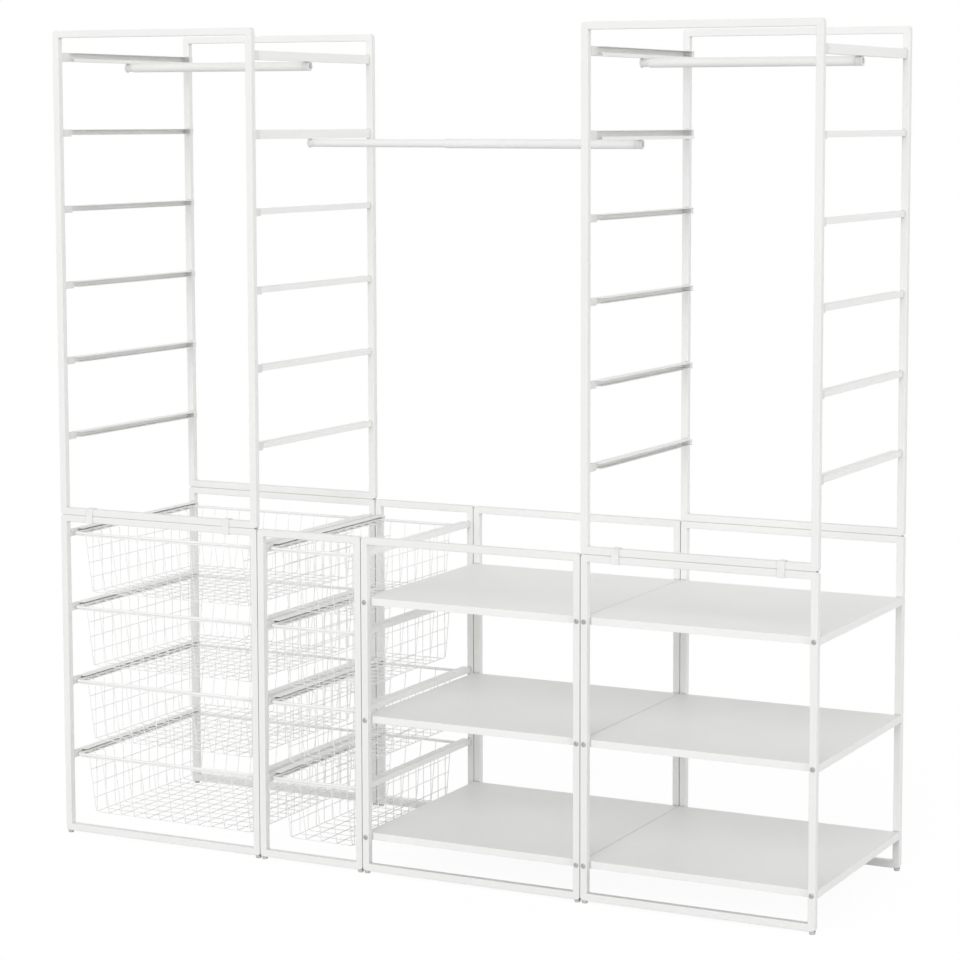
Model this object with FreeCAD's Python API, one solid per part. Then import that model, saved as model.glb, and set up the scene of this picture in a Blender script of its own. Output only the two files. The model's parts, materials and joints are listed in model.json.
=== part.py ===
import FreeCAD, Part
import math
import os

# Open frame wardrobe: four base units side by side, a tower on the first and the last, three clothes rails,
# eight wire baskets on runners and six sheet steel shelves.
# X runs to the right, Y to the back and Z up. The origin is on the floor, under the middle of the whole.
# All sizes are in millimetres.

# Units
UNIT_WIDE = 494.0
UNIT_NARROW = 246.5
UNIT_GAP = 0.9
DEPTH = 510.0
BASE_HEIGHT = 693.0
TOWER_HEIGHT = 1031.0

# Square tube of the welded loops
TUBE = 15.0
LOOP_CORNER = 6.0
LOOP_CORNER_SIDES = 2

# Glides under the posts
FOOT_HEIGHT = 6.0
FOOT_DIAMETER = 14.4
FOOT_SOLE = 12.8
FOOT_SIDES = 6

# Folded channels: runners, rungs and rail supports
CHANNEL_SHEET = 1.2
CHANNEL_INSET = 6.5
CHANNEL_REACH = 12.0
RUN_HEADROOM = 3.3
RUN_CLEARANCE = 0.3
SUPPORT_HEIGHT = 19.0
SUPPORT_HOLE = 5.0
SUPPORT_HOLE_SETBACK = 5.0
SUPPORT_HOLE_SIDES = 6
SUPPORT_LIP = 7.0
PLUG_LENGTH = 27.0
PLUG_PROUD = 0.5
PLUG_DROP = 3.0
BACK_PLUG_LENGTH = 12.0
STOP_CLEARANCE = 0.5

# Levels of runners, rungs and shelves: the top one is measured down from the top of its unit,
# the lowest up from the floor or from the foot of the tower
BASKET_COUNT = 4
RUNNER_DROP = 34.5
RUNNER_LOWEST = 178.5
RUNG_COUNT = 6
RUNG_DROP = 45.5
RUNG_LOWEST = 175.5
SHELF_COUNT = 3
SHELF_DROP = 126.5
SHELF_LOWEST = 83.5

# Wire baskets
RIM_ROD = 6.0
RIM_SIDE_CLEARANCE = 2.0
RIM_SETBACK = 3.0
FRONT_STRIP = 3.0
FRONT_STRIP_SHEET = 1.5
FRONT_STRIP_CLEARANCE = 1.0
WIRE = 2.2
WIRE_PITCH = 33.5
BASKET_SHOULDER = 29.0
BASKET_GAP = 33.0
BASKET_LEAN = 23.0
SIDE_WIRES = 3
END_WIRE_SETBACK = 6.0
WELD_GAP = 0.2

# Folded shelves
SHELF_SHEET = 1.0
SHELF_EDGE = 15.0
SHELF_LIP = 10.0

# Socket screws that hold the shelves
SCREW_HEAD = 10.0
SCREW_CROWN = 7.2
SCREW_HEIGHT = 1.6
SCREW_SIDES = 6

# Clips between a tower and its base
CLIP_WIDTH = 16.0
CLIP_WALL = 1.5
CLIP_LIP = 4.0
CLIP_FROM_SIDE = 75.0

# Telescopic clothes rails
RAIL_SIDES = 8
RAIL_OUTER = 21.0
RAIL_WALL = 1.2
RAIL_FIT = 0.3
RAIL_DROP = 9.5
RAIL_END_GAP = 1.0
RAIL_OVERLAP = 3.0
RAIL_INNER_SHOWS = 5.0
CAP_DIAMETER = 22.0
CAP_DISC = 3.0
CAP_REACH = 15.0
CAP_SPIGOT = 15.0
SPIGOT_ROOM = 2.0

# Worked-out places
UNITS = (("base_1", UNIT_WIDE), ("base_2", UNIT_NARROW), ("base_3", UNIT_WIDE), ("base_4", UNIT_WIDE))
WIDTH = sum(width for name, width in UNITS) + UNIT_GAP * (len(UNITS) - 1)
FRONT = -DEPTH / 2
BACK = DEPTH / 2
INSIDE_FRONT = FRONT + TUBE
INSIDE_BACK = BACK - TUBE
CHANNEL_FRONT = INSIDE_FRONT + PLUG_LENGTH
SEAM = FOOT_HEIGHT + BASE_HEIGHT
TOP = SEAM + TOWER_HEIGHT
CHANNEL_DEPTH = TUBE + CHANNEL_REACH - CHANNEL_INSET
CHANNEL_HEIGHT = RIM_ROD + 2 * CHANNEL_SHEET + RUN_CLEARANCE + RUN_HEADROOM
LEFT, RIGHT = 1, -1


def vec(x, y, z):
    return FreeCAD.Vector(x, y, z)


def box(x0, x1, y0, y1, z0, z1):
    """A block between two corners, given in either order along X."""
    return Part.makeBox(abs(x1 - x0), y1 - y0, z1 - z0, vec(min(x0, x1), y0, z0))


def prism(points, along):
    """A flat outline pushed along a vector."""
    outline = Part.makePolygon(points + points[:1])
    return Part.Face(outline).extrude(along)


def ring(sides, radius, place):
    """A regular outline with its corners on a circle; place turns an angle and a radius into a point."""
    corners = [place(2 * math.pi * (i + 0.5) / sides, radius) for i in range(sides)]
    return Part.makePolygon(corners + corners[:1])


def bar(sides, diameter, start, length):
    """A many-sided bar along X; a negative length runs to the left."""
    outline = ring(sides, diameter / 2, lambda a, r: start + vec(0, r * math.cos(a), r * math.sin(a)))
    return Part.Face(outline).extrude(vec(length, 0, 0))


def unit_left(index):
    """X of the left face of a base unit."""
    before = sum(width for name, width in UNITS[:index])
    return -WIDTH / 2 + before + UNIT_GAP * index


def side_face(index, side):
    """X of a unit's outer face on one side."""
    return unit_left(index) + (0 if side == LEFT else UNITS[index][1])


def levels(highest, lowest, count):
    """Evenly spaced heights from the highest down to the lowest."""
    return [highest - (highest - lowest) * i / (count - 1) for i in range(count)]


RUNNER_TOPS = levels(SEAM - RUNNER_DROP, RUNNER_LOWEST, BASKET_COUNT)
RUNG_TOPS = levels(TOP - RUNG_DROP, SEAM + RUNG_LOWEST, RUNG_COUNT)
SHELF_TOPS = levels(SEAM - SHELF_DROP, SHELF_LOWEST, SHELF_COUNT)[::-1]
BASKET_DROP = RUNNER_TOPS[0] - RUNNER_TOPS[1] - BASKET_GAP


# Welded loops

def loop(index, front, bottom, height):
    """A rectangle of square tube with its outer corners eased by a few flats."""
    left, width = unit_left(index), UNITS[index][1]
    left_middle, right_middle = left + LOOP_CORNER, left + width - LOOP_CORNER
    low_middle, high_middle = bottom + LOOP_CORNER, bottom + height - LOOP_CORNER
    middles = ((right_middle, high_middle), (left_middle, high_middle),
               (left_middle, low_middle), (right_middle, low_middle))
    points = []
    for quarter, (x, z) in enumerate(middles):
        for step in range(LOOP_CORNER_SIDES + 1):
            angle = math.pi / 2 * (quarter + step / LOOP_CORNER_SIDES)
            points.append(vec(x + LOOP_CORNER * math.cos(angle), front, z + LOOP_CORNER * math.sin(angle)))
    opening = box(left + TUBE, left + width - TUBE, front, front + TUBE,
                  bottom + TUBE, bottom + height - TUBE)
    return prism(points, vec(0, TUBE, 0)).cut(opening)


def feet(index):
    """Tapered glides under the four posts of a base unit."""
    solids = []
    for side in (LEFT, RIGHT):
        x = side_face(index, side) + side * TUBE / 2
        for y in (FRONT + TUBE / 2, BACK - TUBE / 2):
            rings = []
            for z, diameter in ((0, FOOT_SOLE), (FOOT_HEIGHT, FOOT_DIAMETER)):
                rings.append(ring(FOOT_SIDES, diameter / 2, lambda a, r: vec(
                    x + r * math.cos(a), y + r * math.sin(a), z)))
            solids.append(Part.makeLoft(rings, True, True))
    return solids


# Folded channels

def channel(index, side, top, height, lip=CHANNEL_SHEET):
    """A channel from the front plug to the back post of one side, open towards the middle of the unit.

    The lower flange can be folded up into a lip, which is measured from the bottom of the channel.
    """
    web = side_face(index, side) + side * CHANNEL_INSET
    inner, tip = CHANNEL_SHEET, CHANNEL_DEPTH
    bottom = top - height
    low, high = bottom + CHANNEL_SHEET, top - CHANNEL_SHEET
    lower = [(tip, bottom), (tip, low), (inner, low)]
    if lip > CHANNEL_SHEET:
        edge = tip - CHANNEL_SHEET
        lower = [(tip, bottom), (tip, bottom + lip), (edge, bottom + lip), (edge, low), (inner, low)]
    outline = [(0, bottom)] + lower + [(inner, high), (tip, high), (tip, top), (0, top)]
    points = [vec(web + side * across, CHANNEL_FRONT, z) for across, z in outline]
    return prism(points, vec(0, INSIDE_BACK - CHANNEL_FRONT, 0))


def support(index, side, top):
    """A deeper channel with a lip that carries a clothes rail, with a hole through its web near the front."""
    hole_at = vec(side_face(index, side), CHANNEL_FRONT + SUPPORT_HOLE_SETBACK, top - SUPPORT_HEIGHT / 2)
    drill = bar(SUPPORT_HOLE_SIDES, SUPPORT_HOLE, hole_at, side * TUBE)
    return channel(index, side, top, SUPPORT_HEIGHT, SUPPORT_LIP).cut(drill)


def front_plug(index, side, top, height):
    """The plastic end that carries a channel on the front post, clear of the basket's rim."""
    face = side_face(index, side)
    return box(face + side * CHANNEL_INSET, face + side * (TUBE + PLUG_PROUD),
               INSIDE_FRONT, CHANNEL_FRONT, top - height, top)


def back_plug(index, side, top, height):
    """The plastic end in the back of a channel, on the back post; in a runner it stops the basket's rim."""
    web = side_face(index, side) + side * CHANNEL_INSET
    return box(web + side * CHANNEL_SHEET, web + side * (CHANNEL_DEPTH - CHANNEL_SHEET),
               INSIDE_BACK - BACK_PLUG_LENGTH, INSIDE_BACK,
               top - height + CHANNEL_SHEET, top - CHANNEL_SHEET)


# Wire baskets

def wire_edges(path):
    """Both edges of a flat bent wire along a path of points, mitred at its bends and square at its ends."""
    half = WIRE / 2
    runs = [(b - a).normalize() for a, b in zip(path, path[1:])]
    normal = runs[0].cross(runs[1]).normalize()
    edges = ([], [])
    for i, point in enumerate(path):
        before, after = runs[max(i - 1, 0)], runs[min(i, len(runs) - 1)]
        mitre = (normal.cross(before) + normal.cross(after)).normalize()
        reach = half / mitre.dot(normal.cross(after))
        edges[0].append(point + mitre * reach)
        edges[1].append(point - mitre * reach)
    return edges[0], edges[1], normal


def bent_wire(path):
    """A wire of square section bent in one plane, as straight runs that meet in mitres."""
    first, second, normal = wire_edges(path)
    runs = []
    for i in range(len(path) - 1):
        outline = [first[i], first[i + 1], second[i + 1], second[i]]
        runs.append(prism([point - normal * WIRE / 2 for point in outline], normal * WIRE))
    return runs


def rim(x0, x1, y0, y1, z0):
    """The rim rod round the top of a basket, as four runs that meet in mitres."""
    outer = [vec(x, y, z0) for x, y in ((x0, y0), (x1, y0), (x1, y1), (x0, y1))]
    inwards = [vec(RIM_ROD * across, RIM_ROD * back, 0)
               for across, back in ((1, 1), (-1, 1), (-1, -1), (1, -1))]
    inner = [corner + inward for corner, inward in zip(outer, inwards)]
    runs = []
    for i in range(4):
        following = (i + 1) % 4
        runs.append(prism([outer[i], outer[following], inner[following], inner[i]], vec(0, 0, RIM_ROD)))
    return runs


def spread(first, last):
    """Evenly spaced places between two ends, as near to the wire pitch as whole steps allow."""
    steps = max(1, round((last - first) / WIRE_PITCH))
    return [first + (last - first) * i / steps for i in range(steps + 1)]


def basket(index, runner_top):
    """A basket hanging by its rim in a pair of runners: rim, lengthwise, crosswise and side wires."""
    rim_low = runner_top - CHANNEL_HEIGHT + CHANNEL_SHEET + RUN_CLEARANCE
    rim_mid = rim_low + RIM_ROD / 2
    rim_left = side_face(index, LEFT) + TUBE + RIM_SIDE_CLEARANCE
    rim_right = side_face(index, RIGHT) - TUBE - RIM_SIDE_CLEARANCE
    rim_front = INSIDE_FRONT + RIM_SETBACK
    rim_back = INSIDE_BACK - BACK_PLUG_LENGTH - STOP_CLEARANCE
    floor = rim_mid - BASKET_DROP
    solids = rim(rim_left, rim_right, rim_front, rim_back, rim_low)

    # A strip under the front rod, between the tips of the two runners
    strip_inset = TUBE + CHANNEL_REACH + FRONT_STRIP_CLEARANCE
    solids.append(box(side_face(index, LEFT) + strip_inset, side_face(index, RIGHT) - strip_inset,
                      rim_front, rim_front + FRONT_STRIP_SHEET, rim_low - FRONT_STRIP, rim_low))

    # Lengthwise wires: down the leaning front wall, along the floor and up the leaning back wall
    wall_left = rim_left + RIM_ROD / 2 + BASKET_SHOULDER
    wall_right = rim_right - RIM_ROD / 2 - BASKET_SHOULDER
    top_front, top_back = rim_front + RIM_ROD / 2, rim_back - RIM_ROD / 2
    floor_front, floor_back = top_front + BASKET_LEAN, top_back - BASKET_LEAN
    slope = BASKET_LEAN / (rim_low - floor)
    end_low = rim_low - slope * WIRE / 2
    for x in spread(wall_left, wall_right):
        solids += bent_wire([vec(x, top_front + slope * (rim_low - end_low), end_low),
                             vec(x, floor_front, floor), vec(x, floor_back, floor),
                             vec(x, top_back - slope * (rim_low - end_low), end_low)])

    # Crosswise wires: from the side rim across the shoulder, down the wall, under the floor and up again
    shoulder_left, shoulder_right = rim_left + RIM_ROD, rim_right - RIM_ROD
    outer_left, outer_right, under = wall_left - WIRE, wall_right + WIRE, floor - WIRE
    for y in spread(floor_front + END_WIRE_SETBACK, floor_back - END_WIRE_SETBACK):
        solids += bent_wire([vec(shoulder_left, y, rim_mid), vec(outer_left, y, rim_mid),
                             vec(outer_left, y, under), vec(outer_right, y, under),
                             vec(outer_right, y, rim_mid), vec(shoulder_right, y, rim_mid)])

    # Straight side wires between the corner wires, welded to the inside of the crosswise ones
    half = WIRE / 2
    for step in range(1, SIDE_WIRES + 1):
        z = floor + (rim_mid - floor) * step / (SIDE_WIRES + 1)
        reach = half * math.hypot(1, slope) + half * slope + WELD_GAP
        front = floor_front - slope * (z - floor) + reach
        back = floor_back + slope * (z - floor) - reach
        for x in (wall_left, wall_right):
            solids.append(box(x - half, x + half, front, back, z - half, z + half))
    return solids


# Shelves and their screws

def shelf(index, top):
    """A sheet with four folded-down edges and a lip folded in along the front and back edges."""
    left, right = side_face(index, LEFT), side_face(index, RIGHT)
    bottom = top - SHELF_EDGE
    pan = box(left, right, INSIDE_FRONT, INSIDE_BACK, bottom, top)
    hollow = box(left + SHELF_SHEET, right - SHELF_SHEET,
                 INSIDE_FRONT + SHELF_SHEET, INSIDE_BACK - SHELF_SHEET, bottom, top - SHELF_SHEET)
    pan = pan.cut(hollow)
    for y0 in (INSIDE_FRONT, INSIDE_BACK - SHELF_LIP):
        pan = pan.fuse(box(left, right, y0, y0 + SHELF_LIP, bottom, bottom + SHELF_SHEET))
    return pan.removeSplitter()


def screws(index):
    """Crowned screw heads on the outer faces of the posts, one at each corner of each shelf."""
    solids = []
    for top in SHELF_TOPS:
        z = top - SHELF_EDGE / 2
        for side in (LEFT, RIGHT):
            x = side_face(index, side) + side * TUBE / 2
            for face, out in ((FRONT, -1), (BACK, 1)):
                rings = []
                for y, diameter in ((face, SCREW_HEAD), (face + out * SCREW_HEIGHT, SCREW_CROWN)):
                    rings.append(ring(SCREW_SIDES, diameter / 2, lambda a, r: vec(
                        x + r * math.cos(a), y, z + r * math.sin(a))))
                solids.append(Part.makeLoft(rings, True, True))
    return solids


# Clips at the foot of a tower

def clips(index):
    """Two clips round the tower's bottom front bar and the base's top front bar."""
    y_front, y_back = FRONT - CLIP_WALL, INSIDE_FRONT + CLIP_WALL
    low, high = SEAM - TUBE, SEAM + TUBE
    outline = [(y_front, low - CLIP_WALL), (y_back, low - CLIP_WALL), (y_back, low + CLIP_LIP),
               (INSIDE_FRONT, low + CLIP_LIP), (INSIDE_FRONT, low), (FRONT, low),
               (FRONT, high), (INSIDE_FRONT, high), (INSIDE_FRONT, high - CLIP_LIP),
               (y_back, high - CLIP_LIP), (y_back, high + CLIP_WALL), (y_front, high + CLIP_WALL)]
    solids = []
    for side in (LEFT, RIGHT):
        x = side_face(index, side) + side * CLIP_FROM_SIDE - CLIP_WIDTH / 2
        points = [vec(x, y, z) for y, z in outline]
        solids.append(prism(points, vec(CLIP_WIDTH, 0, 0)))
    return solids


# Clothes rails

RAIL_BETWEEN_TIPS = UNIT_WIDE - 2 * (TUBE + CHANNEL_REACH + RAIL_END_GAP)
OUTER_TUBE_LENGTH = RAIL_BETWEEN_TIPS - RAIL_INNER_SHOWS
INNER_TUBE_LENGTH = OUTER_TUBE_LENGTH - CAP_SPIGOT - SPIGOT_ROOM
RAIL_INNER = RAIL_OUTER - 2 * (RAIL_WALL + RAIL_FIT)


def tube(x0, length, diameter, z):
    start = vec(x0, 0, z)
    outside = bar(RAIL_SIDES, diameter, start, length)
    return outside.cut(bar(RAIL_SIDES, diameter - 2 * RAIL_WALL, start, length))


def cap(x, inward, bore, support_low):
    """An end cap: a disc cut flat under its support, and a spigot that runs into the tube."""
    z = support_low - RAIL_DROP
    disc = bar(RAIL_SIDES, CAP_DIAMETER, vec(x - inward * CAP_REACH, 0, z), inward * CAP_DISC)
    over = box(x - CAP_REACH, x + CAP_REACH, -CAP_DIAMETER, CAP_DIAMETER,
               support_low, support_low + CAP_DIAMETER)
    spigot_start = vec(x - inward * (CAP_REACH - CAP_DISC), 0, z)
    spigot_length = CAP_REACH - CAP_DISC + CAP_SPIGOT
    spigot = bar(RAIL_SIDES, bore - 2 * RAIL_FIT, spigot_start, inward * spigot_length)
    return disc.cut(over).fuse(spigot)


def rail(left_support, right_support, support_top):
    """Outer tube, inner tube and two caps of a rail between two support faces."""
    low = support_top - SUPPORT_HEIGHT
    z = low - RAIL_DROP
    start, end = left_support + RAIL_END_GAP, right_support - RAIL_END_GAP
    outer = tube(end - OUTER_TUBE_LENGTH, OUTER_TUBE_LENGTH, RAIL_OUTER, z)
    inner = tube(start, INNER_TUBE_LENGTH, RAIL_INNER, z)
    caps = [cap(start, 1, RAIL_INNER - 2 * RAIL_WALL, low), cap(end, -1, RAIL_OUTER - 2 * RAIL_WALL, low)]
    return outer, inner, caps


# The whole, node by node

def base_nodes():
    nodes = {}
    for index, (name, width) in enumerate(UNITS):
        nodes[name + "_front_frame"] = [loop(index, FRONT, FOOT_HEIGHT, BASE_HEIGHT)]
        nodes[name + "_back_frame"] = [loop(index, INSIDE_BACK, FOOT_HEIGHT, BASE_HEIGHT)]
        nodes[name + "_feet"] = feet(index)
    return nodes


def basket_nodes():
    nodes = {}
    for index, kind in ((0, "wide"), (1, "narrow")):
        name = UNITS[index][0]
        plugs = []
        for side, word in ((LEFT, "left"), (RIGHT, "right")):
            nodes[f"{name}_{word}_runners"] = [channel(index, side, top, CHANNEL_HEIGHT)
                                               for top in RUNNER_TOPS]
            plugs += [front_plug(index, side, top, CHANNEL_HEIGHT + PLUG_DROP) for top in RUNNER_TOPS]
            plugs += [back_plug(index, side, top, CHANNEL_HEIGHT) for top in RUNNER_TOPS]
        nodes[name + "_runner_plugs"] = plugs
        for count, top in enumerate(RUNNER_TOPS, 1):
            nodes[f"{kind}_basket_{count}"] = basket(index, top)
    return nodes


def shelf_nodes():
    nodes = {}
    for index in (2, 3):
        name = UNITS[index][0]
        for count, top in enumerate(SHELF_TOPS, 1):
            nodes[f"{name}_shelf_{count}"] = [shelf(index, top)]
        nodes[name + "_shelf_screws"] = screws(index)
    return nodes


def tower_nodes():
    """Frames, rungs, supports and clips of both towers; the sides that face each other have two supports."""
    nodes = {}
    for name, index, support_counts in (("tower_1", 0, (1, 2)), ("tower_2", 3, (2, 1))):
        nodes[name + "_front_frame"] = [loop(index, FRONT, SEAM, TOWER_HEIGHT)]
        nodes[name + "_back_frame"] = [loop(index, INSIDE_BACK, SEAM, TOWER_HEIGHT)]
        nodes[name + "_clips"] = clips(index)
        plugs = []
        for side, word, count in ((LEFT, "left", support_counts[0]), (RIGHT, "right", support_counts[1])):
            nodes[f"{name}_{word}_supports"] = [support(index, side, top) for top in RUNG_TOPS[:count]]
            rung_tops = RUNG_TOPS[count:]
            nodes[f"{name}_{word}_rungs"] = [channel(index, side, top, CHANNEL_HEIGHT) for top in rung_tops]
            plugs += [front_plug(index, side, top, SUPPORT_HEIGHT) for top in RUNG_TOPS[:count]]
            plugs += [front_plug(index, side, top, CHANNEL_HEIGHT + PLUG_DROP) for top in rung_tops]
            plugs += [back_plug(index, side, top, SUPPORT_HEIGHT) for top in RUNG_TOPS[:count]]
            plugs += [back_plug(index, side, top, CHANNEL_HEIGHT) for top in rung_tops]
        nodes[name + "_rung_plugs"] = plugs
    return nodes


def rail_nodes():
    """The two short rails hang between the flange tips of their tower, the long one from tower to tower."""
    tip = TUBE + CHANNEL_REACH
    rails = (
        ("left_rail", side_face(0, LEFT) + tip, side_face(0, RIGHT) - tip, RUNG_TOPS[0]),
        ("middle_rail", side_face(0, RIGHT) - RAIL_OVERLAP, side_face(3, LEFT) + RAIL_OVERLAP, RUNG_TOPS[1]),
        ("right_rail", side_face(3, LEFT) + tip, side_face(3, RIGHT) - tip, RUNG_TOPS[0]),
    )
    nodes = {}
    for name, left, right, top in rails:
        outer, inner, caps = rail(left, right, top)
        nodes[name + "_outer_tube"] = [outer]
        nodes[name + "_inner_tube"] = [inner]
        nodes[name + "_caps"] = caps
    return nodes


def main():
    os.makedirs("parts", exist_ok=True)
    for nodes in (base_nodes(), basket_nodes(), shelf_nodes(), tower_nodes(), rail_nodes()):
        for name, solids in nodes.items():
            shape = solids[0] if len(solids) == 1 else Part.makeCompound(solids)
            shape.exportStep(f"parts/{name}.step")


main()
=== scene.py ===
import json
import math
from types import SimpleNamespace

import bmesh
import bpy
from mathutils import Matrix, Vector


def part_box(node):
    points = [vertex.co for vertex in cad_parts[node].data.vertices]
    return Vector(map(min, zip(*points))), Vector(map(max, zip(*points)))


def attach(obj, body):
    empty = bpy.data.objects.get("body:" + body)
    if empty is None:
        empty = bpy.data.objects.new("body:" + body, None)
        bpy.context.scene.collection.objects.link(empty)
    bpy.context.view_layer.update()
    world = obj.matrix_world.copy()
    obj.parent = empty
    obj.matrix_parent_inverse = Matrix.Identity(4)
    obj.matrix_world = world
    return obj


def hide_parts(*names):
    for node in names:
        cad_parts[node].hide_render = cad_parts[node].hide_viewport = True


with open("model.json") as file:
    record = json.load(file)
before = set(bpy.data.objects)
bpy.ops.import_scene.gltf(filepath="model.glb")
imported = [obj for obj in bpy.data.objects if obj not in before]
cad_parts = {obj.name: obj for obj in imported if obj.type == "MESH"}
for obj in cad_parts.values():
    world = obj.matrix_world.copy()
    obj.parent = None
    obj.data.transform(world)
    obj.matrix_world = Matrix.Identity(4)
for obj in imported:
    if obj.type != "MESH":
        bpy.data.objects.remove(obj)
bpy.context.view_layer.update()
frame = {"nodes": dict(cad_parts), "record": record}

# Open frame wardrobe. Lengths are in metres, in the frame of the solids: X right, Y to the back, Z up.
MM = 0.001

# Camera, matched to the photograph as closely as a lens shift that suits the other views allows
IMAGE_SIZE = 960.0
SENSOR = 36.0
CAMERA_PLACE = Vector((2.6378, -5.0326, 1.5433))
CAMERA_TURN = 0.45511
CAMERA_PITCH = -0.10153
CAMERA_FOCAL_PIXELS = 2736.0
CAMERA_SHIFT = (-0.07, -0.085)

# Wire baskets
RIM_ROD = 6.0 * MM
RIM_CORNER = 8.0 * MM
STRIP_INSET = 11.0 * MM
STRIP_DROP = 3.0 * MM
STRIP_SHEET = 1.5 * MM
STRIP_EDGE = 0.5 * MM
STRIP_EDGE_STEPS = 2
WIRE = 1.7 * MM
WIRE_BEND = 7.0 * MM
WIRE_PITCH = 33.5 * MM
BASKET_SHOULDER = 29.0 * MM
BASKET_LEAN = 23.0 * MM
END_WIRE_SETBACK = 6.0 * MM
SIDE_WIRES = 3
WELD_DEPTH = 0.3 * MM
ROD_SIDES = 16
WIRE_SIDES = 8
BEND_STEPS = 5
END_DOME_SHARE = 0.3

# Rounded edges of the pieces that stay as solids: a width and a number of steps
TUBE_EDGE = (1.6 * MM, 4)
SHEET_EDGE = (0.45 * MM, 2)
PLUG_EDGE = (0.7 * MM, 2)
CLIP_EDGE = (0.7 * MM, 3)
EDGES = {"frame_tube": TUBE_EDGE, "channel_sheet": SHEET_EDGE, "shelf_sheet": SHEET_EDGE,
         "plug_plastic": PLUG_EDGE, "clip_plastic": CLIP_EDGE}
SHARED_REACH = 0.01 * MM
EDGE_ANGLE = math.radians(35)
FLAT_ANGLE = math.radians(1)
LARGE_FACE_WEIGHT = 100

# New pieces keep an edge sharp from this angle on, and their eased edges are round
SHARP_ANGLE = math.radians(40)
ROUND_PROFILE = 0.5

# Glides: the profile is in shares of the radius and of the height
FOOT_SIDES = 28
FOOT_INSET = 0.8 * MM
FOOT_PROFILE = ((0, 0), (0.8, 0), (0.86, 0.1), (0.89, 0.25), (0.93, 0.72), (1, 0.76), (1, 1), (0, 1))

# Socket screws: the dome is in shares of the radius and of the height
SCREW_SIDES = 24
SCREW_RADIUS = 5.0 * MM
SCREW_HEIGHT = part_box("base_3_front_frame")[0].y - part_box("base_3_shelf_screws")[0].y
SCREW_DOME = ((1, 0), (1, 0.2), (0.93, 0.55), (0.8, 0.85), (0.62, 1))
SOCKET_FLATS = 6
SOCKET_RADIUS = 1.75 * MM
SOCKET_DEPTH = 1.2 * MM

# Clothes rails and their caps
TURN_SIDES = 40
TUBE_WALL = 1.2 * MM
TUBE_LIP = 0.35 * MM
CAP_FIT = 0.2 * MM
CAP_DISC = 3.0 * MM
CAP_EDGE = 0.5 * MM
CAP_RIM_EDGE = 0.8 * MM
HOLLOW_WALL = 1.6 * MM
HOLLOW_DEPTH = 12.0 * MM
HOLLOW_CORNER = 0.6 * MM
COLLAR_GAP = 0.6 * MM
COLLAR_EDGE = 0.4 * MM
SPIGOT_LENGTH = 15.0 * MM
SPIGOT_TAPER = 0.8 * MM
SPIGOT_TAPER_LENGTH = 1.0 * MM

# Materials: a noise has a scale and a detail, a bump a strength and a depth
NOISE_MIDDLE = (0.3, 0.7)
COAT_DRIFT = (5.0, 3.0)
COAT_DULLER = (0.975, 0.972, 0.965)
COAT_SHEEN = (70.0, 4.0)
COAT_SHEEN_REACH = 0.06
COAT_PEEL = (650.0, 2.0)
COAT_PEEL_BUMP = (0.12, 0.25 * MM)
COAT_SPECULAR = 0.45
PLASTIC_FLOW = (40.0, 5.0)
PLASTIC_DEEPER = 0.9
PLASTIC_PATCHES = (180.0, 3.0)
PLASTIC_PATCHES_REACH = 0.07
PLASTIC_SPARK = (2200.0, 1.0)
PLASTIC_SPARK_DEPTH = 0.1 * MM
ZINC_MOTTLE = (350.0, 4.0)
ZINC_DARKER = 0.8
ZINC_SMOOTHER = 0.08
ZINC_ROUGHER = 0.1
ZINC_MARKS = (3000.0, 2.0)
ZINC_MARKS_BUMP = (0.15, 0.05 * MM)

# Painted shade: the coat's colour is darkened in grooves and corners by an ambient occlusion mask
PAINTED_SHADE_REACH = 5.0 * MM
PAINTED_SHADE_SAMPLES = 8
PAINTED_SHADE_FACTOR = 0.7
PAINTED_SHADE_RANGE = (0.5, 0.95)

# Light: a lamp has an azimuth, an elevation, a strength and a softness
HORIZON_LIGHT = 1.4
OVERHEAD_LIGHT = 0.3
FRONT_LAMP = (8, 32, 0.66, 0.5)
SIDE_LAMP = (50, 3, 0.3, 0.2)

# Floor
FLOOR_RADIUS = 40.0
FLOOR_SIDES = 64
FLOOR_COLOUR = (0.7, 0.7, 0.7, 1)
FLOOR_SHOWN_SHARE = 0.9
FLOOR_SHOWN_STRENGTH = 1.05


# Sweeps, turned shapes and meshes

def rounded(path, radius, closed=False):
    """The path with its corners turned into arcs."""
    count = len(path)
    made = []
    for i, corner in enumerate(path):
        if not closed and i in (0, count - 1):
            made.append(corner.copy())
            continue
        to_last = (path[i - 1] - corner).normalized()
        to_next = (path[(i + 1) % count] - corner).normalized()
        half = to_last.angle(to_next) / 2
        reach = radius / math.tan(half)
        middle = corner + (to_last + to_next).normalized() * radius / math.sin(half)
        start = (corner + to_last * reach - middle).normalized()
        end = (corner + to_next * reach - middle).normalized()
        for step in range(BEND_STEPS + 1):
            made.append(middle + start.slerp(end, step / BEND_STEPS) * radius)
    return made


def circle(bm, middle, across, other, radius, sides):
    """Points round a middle, in the plane of two directions."""
    ring = []
    for k in range(sides):
        angle = 2 * math.pi * k / sides
        ring.append(bm.verts.new(middle + (across * math.cos(angle) + other * math.sin(angle)) * radius))
    return ring


def sweep(bm, path, radius, sides, closed=False):
    """A round rod along a path, with slightly domed ends where it isn't closed."""
    count = len(path)
    rings = []
    across = None
    for i, point in enumerate(path):
        before = path[i - 1] if closed or i > 0 else point
        after = path[(i + 1) % count] if closed or i < count - 1 else point
        along = (after - before).normalized()
        if across is None:
            across = along.orthogonal().normalized()
        else:
            across = (across - along * across.dot(along)).normalized()
        rings.append(circle(bm, point, across, along.cross(across), radius, sides))
    followers = rings[1:] + rings[:1] if closed else rings[1:]
    for ring, following in zip(rings, followers):
        bridge(bm, ring, following)
    if not closed:
        close_end(bm, rings[0], path[0] - path[1], radius, inside_out=True)
        close_end(bm, rings[-1], path[-1] - path[-2], radius, inside_out=False)


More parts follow.
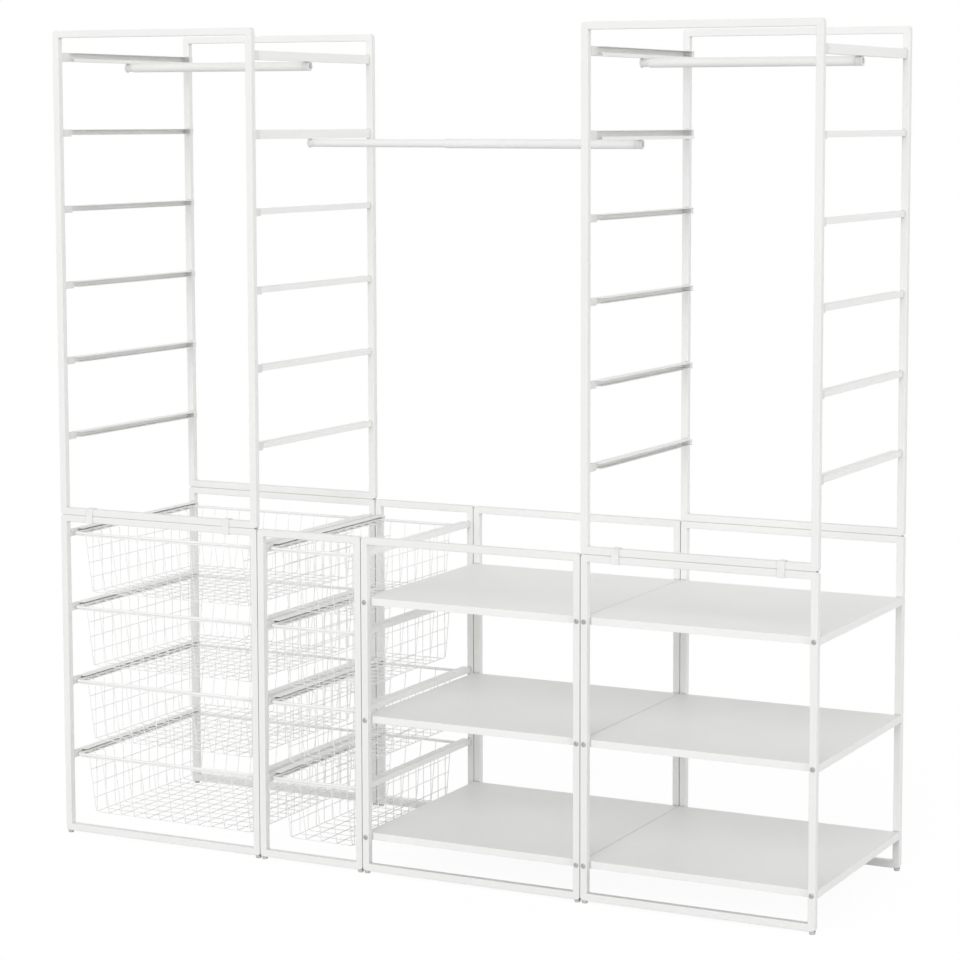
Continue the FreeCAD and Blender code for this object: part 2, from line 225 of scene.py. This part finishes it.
def bridge(bm, ring, following):
    count = len(ring)
    for k in range(count):
        bm.faces.new((ring[k], ring[(k + 1) % count], following[(k + 1) % count], following[k]))


def close_end(bm, ring, outward, radius, inside_out):
    """A low dome over the end of a rod."""
    middle = sum((v.co for v in ring), Vector()) / len(ring)
    tip = bm.verts.new(middle + outward.normalized() * radius * END_DOME_SHARE)
    for k in range(len(ring)):
        a, b = ring[k], ring[(k + 1) % len(ring)]
        bm.faces.new((b, a, tip) if inside_out else (a, b, tip))


def turned(bm, profile, sides, centre, along, across):
    """A profile of (radius, distance) pairs turned round an axis; a radius of 0 closes it in a point."""
    other = along.cross(across)
    rings = []
    for radius, distance in profile:
        middle = centre + along * distance
        if radius == 0:
            rings.append([bm.verts.new(middle)])
        else:
            rings.append(circle(bm, middle, across, other, radius, sides))
    for ring, following in zip(rings, rings[1:]):
        join_rings(bm, ring, following)
    return rings


def join_rings(bm, ring, following):
    """Faces between two rings, one of which may be a single point."""
    if len(ring) > 1 and len(following) > 1:
        bridge(bm, ring, following)
        return
    wide, point = (ring, following[0]) if len(ring) > 1 else (following, ring[0])
    for k in range(len(wide)):
        bm.faces.new((wide[k], wide[(k + 1) % len(wide)], point))


def scaled(profile, radius, height):
    """A profile in shares, brought to a radius and a height."""
    return [(share * radius, rise * height) for share, rise in profile]


def plate(bm, low, high, edge, steps):
    """A thin block between two corners with eased edges."""
    verts = bmesh.ops.create_cube(bm, size=1.0)["verts"]
    middle, size = (low + high) / 2, high - low
    for vert in verts:
        vert.co = middle + Vector(a * b for a, b in zip(vert.co, size))
    edges = []
    for vert in verts:
        edges += [side for side in vert.link_edges if side not in edges]
    bmesh.ops.bevel(bm, geom=edges, offset=edge, segments=steps, profile=ROUND_PROFILE, affect="EDGES")


def new_piece(name, bm, body, node, material):
    """A smooth-shaded mesh object that stands for a node and rides on its body."""
    bmesh.ops.recalc_face_normals(bm, faces=bm.faces)
    mesh = bpy.data.meshes.new(name)
    bm.to_mesh(mesh)
    bm.free()
    mesh.shade_smooth()
    mesh.set_sharp_from_angle(angle=SHARP_ANGLE)
    piece = bpy.data.objects.new(name, mesh)
    bpy.context.scene.collection.objects.link(piece)
    mesh.materials.append(material)
    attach(piece, body)
    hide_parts(node)
    return piece


# Materials

def start_material(name):
    material = bpy.data.materials.new(name)
    material.use_nodes = True
    nodes, links = material.node_tree.nodes, material.node_tree.links
    shader = nodes["Principled BSDF"]
    place = nodes.new("ShaderNodeTexCoord").outputs["Object"]
    return material, nodes, links, shader, place


def noise(nodes, links, place, scale, detail):
    made = nodes.new("ShaderNodeTexNoise")
    made.inputs["Scale"].default_value = scale
    made.inputs["Detail"].default_value = detail
    links.new(place, made.inputs["Vector"])
    return made.outputs["Fac"]


def spread_value(nodes, links, source, low, high, within=NOISE_MIDDLE):
    """Maps a part of a source, the middle of a noise unless told otherwise, to a range of values."""
    made = nodes.new("ShaderNodeMapRange")
    made.inputs["From Min"].default_value = within[0]
    made.inputs["From Max"].default_value = within[1]
    made.inputs["To Min"].default_value = low
    made.inputs["To Max"].default_value = high
    links.new(source, made.inputs["Value"])
    return made.outputs["Result"]


def mix_colours(nodes, links, amount, first, second):
    """Mixes two colours; each is a plain colour or the output of another node."""
    made = nodes.new("ShaderNodeMix")
    made.data_type = "RGBA"
    for socket, colour in (("A", first), ("B", second)):
        if isinstance(colour, tuple):
            made.inputs[socket].default_value = (*colour, 1)
        else:
            links.new(colour, made.inputs[socket])
    links.new(amount, made.inputs["Factor"])
    return made.outputs["Result"]


def painted_shade_mask(nodes, links):
    """1 on open faces, falling to 0 deep in narrow grooves and corners; the mask for the painted shade."""
    made = nodes.new("ShaderNodeAmbientOcclusion")
    made.samples = PAINTED_SHADE_SAMPLES
    made.inputs["Distance"].default_value = PAINTED_SHADE_REACH
    return spread_value(nodes, links, made.outputs["AO"], 0.0, 1.0, PAINTED_SHADE_RANGE)


def bump(nodes, links, height, strength, distance):
    made = nodes.new("ShaderNodeBump")
    made.inputs["Strength"].default_value = strength
    made.inputs["Distance"].default_value = distance
    links.new(height, made.inputs["Height"])
    return made.outputs["Normal"]


def powder_coat(name, colour, roughness, paint_crease_shade=False):
    """White powder coat: fine orange peel, a slow drift in whiteness and an uneven sheen, with painted shade
    in the creases when asked for.
    """
    material, nodes, links, shader, place = start_material(name)
    drift = noise(nodes, links, place, *COAT_DRIFT)
    amount = spread_value(nodes, links, drift, 0.0, 1.0)
    duller = tuple(channel * shade for channel, shade in zip(colour, COAT_DULLER))
    coat = mix_colours(nodes, links, amount, colour, duller)
    # Painted shade: the colour darkens in grooves and corners, following an ambient occlusion mask
    if paint_crease_shade:
        crease_shade_colour = tuple(channel * PAINTED_SHADE_FACTOR for channel in colour)
        coat = mix_colours(nodes, links, painted_shade_mask(nodes, links), crease_shade_colour, coat)
    links.new(coat, shader.inputs["Base Color"])
    sheen = noise(nodes, links, place, *COAT_SHEEN)
    rough = spread_value(nodes, links, sheen, roughness - COAT_SHEEN_REACH, roughness + COAT_SHEEN_REACH)
    links.new(rough, shader.inputs["Roughness"])
    peel = noise(nodes, links, place, *COAT_PEEL)
    links.new(bump(nodes, links, peel, *COAT_PEEL_BUMP), shader.inputs["Normal"])
    shader.inputs["Specular IOR Level"].default_value = COAT_SPECULAR
    return material


def moulded_plastic(name, colour, roughness, grain):
    """Matte moulded plastic with a fine spark-eroded grain and faint flow marks."""
    material, nodes, links, shader, place = start_material(name)
    flow = noise(nodes, links, place, *PLASTIC_FLOW)
    amount = spread_value(nodes, links, flow, 0.0, 1.0)
    deeper = tuple(channel * PLASTIC_DEEPER for channel in colour)
    links.new(mix_colours(nodes, links, amount, colour, deeper), shader.inputs["Base Color"])
    patches = noise(nodes, links, place, *PLASTIC_PATCHES)
    low, high = roughness - PLASTIC_PATCHES_REACH, roughness + PLASTIC_PATCHES_REACH
    links.new(spread_value(nodes, links, patches, low, high), shader.inputs["Roughness"])
    spark = noise(nodes, links, place, *PLASTIC_SPARK)
    links.new(bump(nodes, links, spark, grain, PLASTIC_SPARK_DEPTH), shader.inputs["Normal"])
    return material


def zinc_plate(name, colour, roughness):
    """Zinc-plated steel, slightly mottled, with fine turning marks."""
    material, nodes, links, shader, place = start_material(name)
    mottle = noise(nodes, links, place, *ZINC_MOTTLE)
    amount = spread_value(nodes, links, mottle, 0.0, 1.0)
    darker = tuple(channel * ZINC_DARKER for channel in colour)
    links.new(mix_colours(nodes, links, amount, colour, darker), shader.inputs["Base Color"])
    rough = spread_value(nodes, links, mottle, roughness - ZINC_SMOOTHER, roughness + ZINC_ROUGHER)
    links.new(rough, shader.inputs["Roughness"])
    marks = noise(nodes, links, place, *ZINC_MARKS)
    links.new(bump(nodes, links, marks, *ZINC_MARKS_BUMP), shader.inputs["Normal"])
    shader.inputs["Metallic"].default_value = 1.0
    return material


def make_materials():
    """A material for each slot."""
    white = (0.9, 0.9, 0.89)
    whiter = (0.95, 0.95, 0.94)
    shelf_white = (0.93, 0.93, 0.92)
    return {
        # The frame and shelf coats get painted shade in their grooves and corners
        "frame_tube": powder_coat("frame_powder_coat", white, roughness=0.42, paint_crease_shade=True),
        "channel_sheet": powder_coat("channel_powder_coat", whiter, roughness=0.4),
        "shelf_sheet": powder_coat("shelf_powder_coat", shelf_white, roughness=0.46, paint_crease_shade=True),
        "basket_wire": powder_coat("wire_powder_coat", whiter, roughness=0.4),
        "rail_tube": powder_coat("rail_powder_coat", white, roughness=0.36),
        "cap_plastic": moulded_plastic("cap_moulding", (0.94, 0.94, 0.93), roughness=0.5, grain=0.2),
        "plug_plastic": moulded_plastic("plug_moulding", (0.87, 0.87, 0.86), roughness=0.5, grain=0.2),
        "clip_plastic": moulded_plastic("clip_moulding", (0.92, 0.92, 0.91), roughness=0.45, grain=0.12),
        "foot_plastic": moulded_plastic("foot_moulding", (0.6, 0.6, 0.59), roughness=0.55, grain=0.25),
        "screw_steel": zinc_plate("screw_zinc", (0.5, 0.5, 0.5), roughness=0.34),
    }


# Pieces that stay as solids

def soften(node, width, steps):
    """Rounds a solid's sharp edges and shades it smooth, without touching its points."""
    piece = frame["nodes"][node]
    piece.data.shade_smooth()
    share = piece.modifiers.new("shared points", "WELD")
    share.merge_threshold = SHARED_REACH
    merge = piece.modifiers.new("flat faces", "DECIMATE")
    merge.decimate_type = "DISSOLVE"
    merge.angle_limit = FLAT_ANGLE
    edge = piece.modifiers.new("edges", "BEVEL")
    edge.width = width
    edge.segments = steps
    edge.limit_method = "ANGLE"
    edge.angle_limit = EDGE_ANGLE
    shade = piece.modifiers.new("flat shading", "WEIGHTED_NORMAL")
    shade.weight = LARGE_FACE_WEIGHT


def paint(node, material):
    piece = frame["nodes"][node]
    piece.data.materials.clear()
    piece.data.materials.append(material)


def dress_solids(slots, materials):
    """Paints every solid, and softens those that no new piece stands for."""
    for node, slot_name in slots.items():
        paint(node, materials[slot_name])
        if slot_name in EDGES:
            soften(node, *EDGES[slot_name])


# Baskets of round wire

def spread_places(first, last):
    """Evenly spaced places between two ends, as near to the wire pitch as whole steps allow."""
    steps = max(1, round((last - first) / WIRE_PITCH))
    return [first + (last - first) * i / steps for i in range(steps + 1)]


def basket_places(node):
    """Where the middles of a basket's rim, walls, floor and lowest wires lie, from the box of its solid."""
    low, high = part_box(node)
    rod, wire = RIM_ROD / 2, WIRE / 2
    left, right, front, back = low.x + rod, high.x - rod, low.y + rod, high.y - rod
    under = low.z + wire
    return SimpleNamespace(
        left=left, right=right, front=front, back=back,
        rim_z=high.z - rod, rim_low=high.z - RIM_ROD, under=under, floor=under + WIRE,
        wall_left=left + BASKET_SHOULDER, wall_right=right - BASKET_SHOULDER,
        floor_front=front + BASKET_LEAN, floor_back=back - BASKET_LEAN)


def rim_rod(bm, at):
    """A closed rod with bent corners, and a flat strip under its front."""
    sides = ((at.left, at.front), (at.right, at.front), (at.right, at.back), (at.left, at.back))
    corners = [Vector((x, y, at.rim_z)) for x, y in sides]
    sweep(bm, rounded(corners, RIM_CORNER, closed=True), RIM_ROD / 2, ROD_SIDES, closed=True)
    inset = STRIP_INSET - RIM_ROD / 2
    low = Vector((at.left + inset, at.front - STRIP_SHEET / 2, at.rim_low - STRIP_DROP))
    high = Vector((at.right - inset, at.front + STRIP_SHEET / 2, at.rim_z))
    plate(bm, low, high, STRIP_EDGE, STRIP_EDGE_STEPS)


def bent_wire(bm, path):
    sweep(bm, rounded(path, WIRE_BEND), WIRE / 2, WIRE_SIDES)


def lengthwise_wires(bm, at):
    """Wires over front wall, floor and back wall, which end under the rim."""
    weld_z = at.rim_low + WELD_DEPTH
    for x in spread_places(at.wall_left, at.wall_right):
        bent_wire(bm, [Vector((x, at.front, weld_z)), Vector((x, at.floor_front, at.floor)),
                       Vector((x, at.floor_back, at.floor)), Vector((x, at.back, weld_z))])


def crosswise_wires(bm, at):
    """Wires from rim to rim over both shoulders and side walls, which lie under the lengthwise ones."""
    weld_left = at.left + RIM_ROD / 2 - WELD_DEPTH
    weld_right = at.right - RIM_ROD / 2 + WELD_DEPTH
    outer_left, outer_right = at.wall_left - WIRE, at.wall_right + WIRE
    bends = ((weld_left, at.rim_z), (outer_left, at.rim_z), (outer_left, at.under),
             (outer_right, at.under), (outer_right, at.rim_z), (weld_right, at.rim_z))
    for y in spread_places(at.floor_front + END_WIRE_SETBACK, at.floor_back - END_WIRE_SETBACK):
        bent_wire(bm, [Vector((x, y, z)) for x, z in bends])


def side_wires(bm, at):
    """Straight wires along the side walls, from the leaning front wall to the leaning back wall."""
    slope = BASKET_LEAN / (at.rim_low - at.floor)
    for step in range(1, SIDE_WIRES + 1):
        z = at.floor + (at.rim_z - at.floor) * step / (SIDE_WIRES + 1)
        lean = slope * (z - at.floor)
        for x in (at.wall_left, at.wall_right):
            ends = [Vector((x, at.floor_front - lean, z)), Vector((x, at.floor_back + lean, z))]
            sweep(bm, ends, WIRE / 2, WIRE_SIDES)


def basket(node, material):
    at = basket_places(node)
    bm = bmesh.new()
    rim_rod(bm, at)
    lengthwise_wires(bm, at)
    crosswise_wires(bm, at)
    side_wires(bm, at)
    return new_piece("round_" + node, bm, node + "_body", node, material)


# Turned and small pieces

def post_centres(unit):
    """X of both posts, and the tube's size, read from the unit's front loop."""
    low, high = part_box(unit + "_front_frame")
    tube = high.y - low.y
    return (low.x + tube / 2, high.x - tube / 2), tube


def feet(node, material):
    """Glides with a rounded sole edge, a waist and a thin flange against the post."""
    unit = node.removesuffix("_feet")
    xs, tube = post_centres(unit)
    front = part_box(unit + "_front_frame")[0].y + tube / 2
    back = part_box(unit + "_back_frame")[1].y - tube / 2
    low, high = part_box(node)
    profile = scaled(FOOT_PROFILE, tube / 2 - FOOT_INSET, high.z - low.z)
    bm = bmesh.new()
    for x in xs:
        for y in (front, back):
            turned(bm, profile, FOOT_SIDES, Vector((x, y, low.z)), Vector((0, 0, 1)), Vector((1, 0, 0)))
    return new_piece(unit + "_glides", bm, "frame", node, material)


def socket_ring(bm, middle, across, other):
    """The outline of a socket with flat sides, with as many points as the head around it."""
    flat = 2 * math.pi / SOCKET_FLATS
    ring = []
    for k in range(SCREW_SIDES):
        angle = 2 * math.pi * k / SCREW_SIDES
        turn = (angle + flat / 2) % flat - flat / 2
        spoke = across * math.cos(angle) + other * math.sin(angle)
        ring.append(bm.verts.new(middle + spoke * SOCKET_RADIUS / math.cos(turn)))
    return ring


def screw_head(bm, centre, outward):
    """A button head with a six-sided socket."""
    across = Vector((1, 0, 0))
    other = outward.cross(across)
    dome = scaled(SCREW_DOME, SCREW_RADIUS, SCREW_HEIGHT)
    rings = turned(bm, dome, SCREW_SIDES, centre, outward, across)
    mouth = socket_ring(bm, centre + outward * SCREW_HEIGHT, across, other)
    bottom = socket_ring(bm, centre + outward * (SCREW_HEIGHT - SOCKET_DEPTH), across, other)
    bridge(bm, rings[-1], mouth)
    bridge(bm, mouth, bottom)
    bm.faces.new(bottom)
    bm.faces.new(rings[0])


def shelf_screws(node, material):
    """A screw at each corner of each shelf of a unit, on the outer faces of the posts."""
    unit = node.removesuffix("_shelf_screws")
    xs, tube = post_centres(unit)
    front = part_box(unit + "_front_frame")[0].y
    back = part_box(unit + "_back_frame")[1].y
    shelves = [name for name in frame["nodes"] if name.startswith(unit + "_shelf_") and name[-1].isdigit()]
    bm = bmesh.new()
    for shelf in sorted(shelves):
        low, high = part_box(shelf)
        for x in xs:
            for y, outward in ((front, -1), (back, 1)):
                screw_head(bm, Vector((x, y, (low.z + high.z) / 2)), Vector((0, outward, 0)))
    return new_piece(unit + "_socket_screws", bm, "frame", node, material)


def rail_tube(node, material):
    """A thin-walled round tube with eased ends."""
    low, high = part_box(node)
    radius, length = (high.z - low.z) / 2, high.x - low.x
    inner = radius - TUBE_WALL
    profile = [(inner + TUBE_LIP, 0), (radius - TUBE_LIP, 0),
               (radius, TUBE_LIP), (radius, length - TUBE_LIP),
               (radius - TUBE_LIP, length), (inner + TUBE_LIP, length),
               (inner, length - TUBE_LIP), (inner, TUBE_LIP)]
    bm = bmesh.new()
    centre = Vector((low.x, (low.y + high.y) / 2, (low.z + high.z) / 2))
    rings = turned(bm, profile, TURN_SIDES, centre, Vector((1, 0, 0)), Vector((0, 0, 1)))
    bridge(bm, rings[-1], rings[0])
    return new_piece("round_" + node, bm, "frame", node, material)


def cap_profile(collar, rim, neck):
    """From the bottom of the hollow out over the disc, back along the collar and down the spigot.

    The neck is the distance from the cap's outer face to the end of the tube.
    """
    bore = collar - TUBE_WALL
    hollow = bore - HOLLOW_WALL
    collar_end = neck - COLLAR_GAP
    spigot_end = neck + SPIGOT_LENGTH
    return [(0, HOLLOW_DEPTH), (hollow - HOLLOW_CORNER, HOLLOW_DEPTH),
            (hollow, HOLLOW_DEPTH - HOLLOW_CORNER), (hollow, CAP_EDGE), (hollow + CAP_EDGE, 0),
            (rim - CAP_RIM_EDGE, 0), (rim, CAP_RIM_EDGE),
            (rim, CAP_DISC - CAP_EDGE), (rim - CAP_EDGE, CAP_DISC), (collar, CAP_DISC),
            (collar, collar_end - COLLAR_EDGE), (collar - CAP_EDGE, collar_end),
            (bore, collar_end), (bore, spigot_end - SPIGOT_TAPER_LENGTH),
            (bore - SPIGOT_TAPER, spigot_end), (0, spigot_end)]


def rail_caps(node, material):
    """End caps with a deep round hollow, an eased rim and a spigot into the tube, cut flat at the top."""
    rail = node.removesuffix("_caps")
    low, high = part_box(node)
    tubes = {side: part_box(f"{rail}_{side}_tube") for side in ("inner", "outer")}
    inner_low, inner_high = tubes["inner"]
    outer_low, outer_high = tubes["outer"]
    ends = ((low.x, 1, inner_high.z - inner_low.z, inner_low.x),
            (high.x, -1, outer_high.z - outer_low.z, outer_high.x))
    y, z = (low.y + high.y) / 2, (inner_low.z + inner_high.z) / 2
    bm = bmesh.new()
    for x, inward, tube_diameter, tube_end in ends:
        profile = cap_profile(tube_diameter / 2 - CAP_FIT, (high.y - low.y) / 2, abs(tube_end - x))
        turned(bm, profile, TURN_SIDES, Vector((x, y, z)), Vector((inward, 0, 0)), Vector((0, 0, 1)))
    for vert in bm.verts:
        vert.co.z = min(vert.co.z, high.z)
    bmesh.ops.dissolve_degenerate(bm, dist=SHARED_REACH, edges=bm.edges)
    return new_piece(rail + "_end_caps", bm, "frame", node, material)


# Camera, light and floor

def make_camera():
    data = bpy.data.cameras.new("camera")
    data.sensor_width = SENSOR
    data.lens = CAMERA_FOCAL_PIXELS / IMAGE_SIZE * SENSOR
    data.shift_x, data.shift_y = CAMERA_SHIFT
    camera = bpy.data.objects.new("camera", data)
    camera.location = CAMERA_PLACE
    camera.rotation_euler = (math.pi / 2 + CAMERA_PITCH, 0, CAMERA_TURN)
    bpy.context.scene.collection.objects.link(camera)
    bpy.context.scene.camera = camera


def seen_rays(nodes, links):
    """1 for rays from the camera, reflections and transmission, 0 for the light that falls on the object."""
    path = nodes.new("ShaderNodeLightPath")
    total = path.outputs["Is Camera Ray"]
    for ray in ("Is Glossy Ray", "Is Transmission Ray"):
        either = nodes.new("ShaderNodeMath")
        either.operation = "MAXIMUM"
        links.new(total, either.inputs[0])
        links.new(path.outputs[ray], either.inputs[1])
        total = either.outputs["Value"]
    return total


def make_world():
    """A studio that is brighter near the horizon than overhead, and plain white where it is seen."""
    world = bpy.data.worlds.new("studio")
    bpy.context.scene.world = world
    world.use_nodes = True
    nodes, links = world.node_tree.nodes, world.node_tree.links
    light = nodes["Background"]
    light.inputs["Color"].default_value = (1, 1, 1, 1)
    split = nodes.new("ShaderNodeSeparateXYZ")
    links.new(nodes.new("ShaderNodeTexCoord").outputs["Generated"], split.inputs["Vector"])
    rise = nodes.new("ShaderNodeMapRange")
    rise.inputs["To Min"].default_value = HORIZON_LIGHT
    rise.inputs["To Max"].default_value = OVERHEAD_LIGHT
    links.new(split.outputs["Z"], rise.inputs["Value"])
    links.new(rise.outputs["Result"], light.inputs["Strength"])
    shown = nodes.new("ShaderNodeBackground")
    shown.inputs["Color"].default_value = (1, 1, 1, 1)
    mix = nodes.new("ShaderNodeMixShader")
    links.new(seen_rays(nodes, links), mix.inputs["Fac"])
    links.new(light.outputs["Background"], mix.inputs[1])
    links.new(shown.outputs["Background"], mix.inputs[2])
    links.new(mix.outputs["Shader"], nodes["World Output"].inputs["Surface"])


def floor_material():
    """A matt floor that mostly shows as plain white, so that only a light shadow is left on it."""
    material = bpy.data.materials.new("floor_white")
    material.use_nodes = True
    nodes, links = material.node_tree.nodes, material.node_tree.links
    nodes.clear()
    matt = nodes.new("ShaderNodeBsdfDiffuse")
    matt.inputs["Color"].default_value = FLOOR_COLOUR
    shown = nodes.new("ShaderNodeEmission")
    shown.inputs["Strength"].default_value = FLOOR_SHOWN_STRENGTH
    share = nodes.new("ShaderNodeMath")
    share.operation = "MULTIPLY"
    share.inputs[1].default_value = FLOOR_SHOWN_SHARE
    links.new(seen_rays(nodes, links), share.inputs[0])
    mix = nodes.new("ShaderNodeMixShader")
    links.new(share.outputs["Value"], mix.inputs["Fac"])
    links.new(matt.outputs["BSDF"], mix.inputs[1])
    links.new(shown.outputs["Emission"], mix.inputs[2])
    output = nodes.new("ShaderNodeOutputMaterial")
    links.new(mix.outputs["Shader"], output.inputs["Surface"])
    return material


def make_floor():
    bm = bmesh.new()
    bmesh.ops.create_circle(bm, cap_ends=True, segments=FLOOR_SIDES, radius=FLOOR_RADIUS)
    mesh = bpy.data.meshes.new("floor")
    bm.to_mesh(mesh)
    bm.free()
    floor = bpy.data.objects.new("floor", mesh)
    bpy.context.scene.collection.objects.link(floor)
    mesh.materials.append(floor_material())


def make_lamp(name, azimuth, elevation, strength, softness):
    """A soft lamp far away; azimuth 0 stands in front of the wardrobe and turns towards its right end."""
    turn, rise = math.radians(azimuth), math.radians(elevation)
    towards = Vector((math.sin(turn) * math.cos(rise), -math.cos(turn) * math.cos(rise), math.sin(rise)))
    data = bpy.data.lights.new(name, "SUN")
    data.energy = strength
    data.angle = softness
    lamp = bpy.data.objects.new(name, data)
    lamp.rotation_euler = towards.to_track_quat("Z", "Y").to_euler()
    bpy.context.scene.collection.objects.link(lamp)


# The whole scene

def main():
    slots = {row["node"]: row["material_slot"] for row in frame["record"]["subparts"]}
    materials = make_materials()
    dress_solids(slots, materials)
    makers = {"basket_wire": basket, "rail_tube": rail_tube, "foot_plastic": feet,
              "screw_steel": shelf_screws, "cap_plastic": rail_caps}
    for node in sorted(frame["nodes"]):
        slot_name = slots[node]
        if slot_name in makers:
            makers[slot_name](node, materials[slot_name])
    make_camera()
    make_world()
    make_lamp("side_lamp", *SIDE_LAMP)
    make_lamp("front_lamp", *FRONT_LAMP)
    make_floor()
    bpy.context.scene.view_settings.view_transform = "Standard"


main()
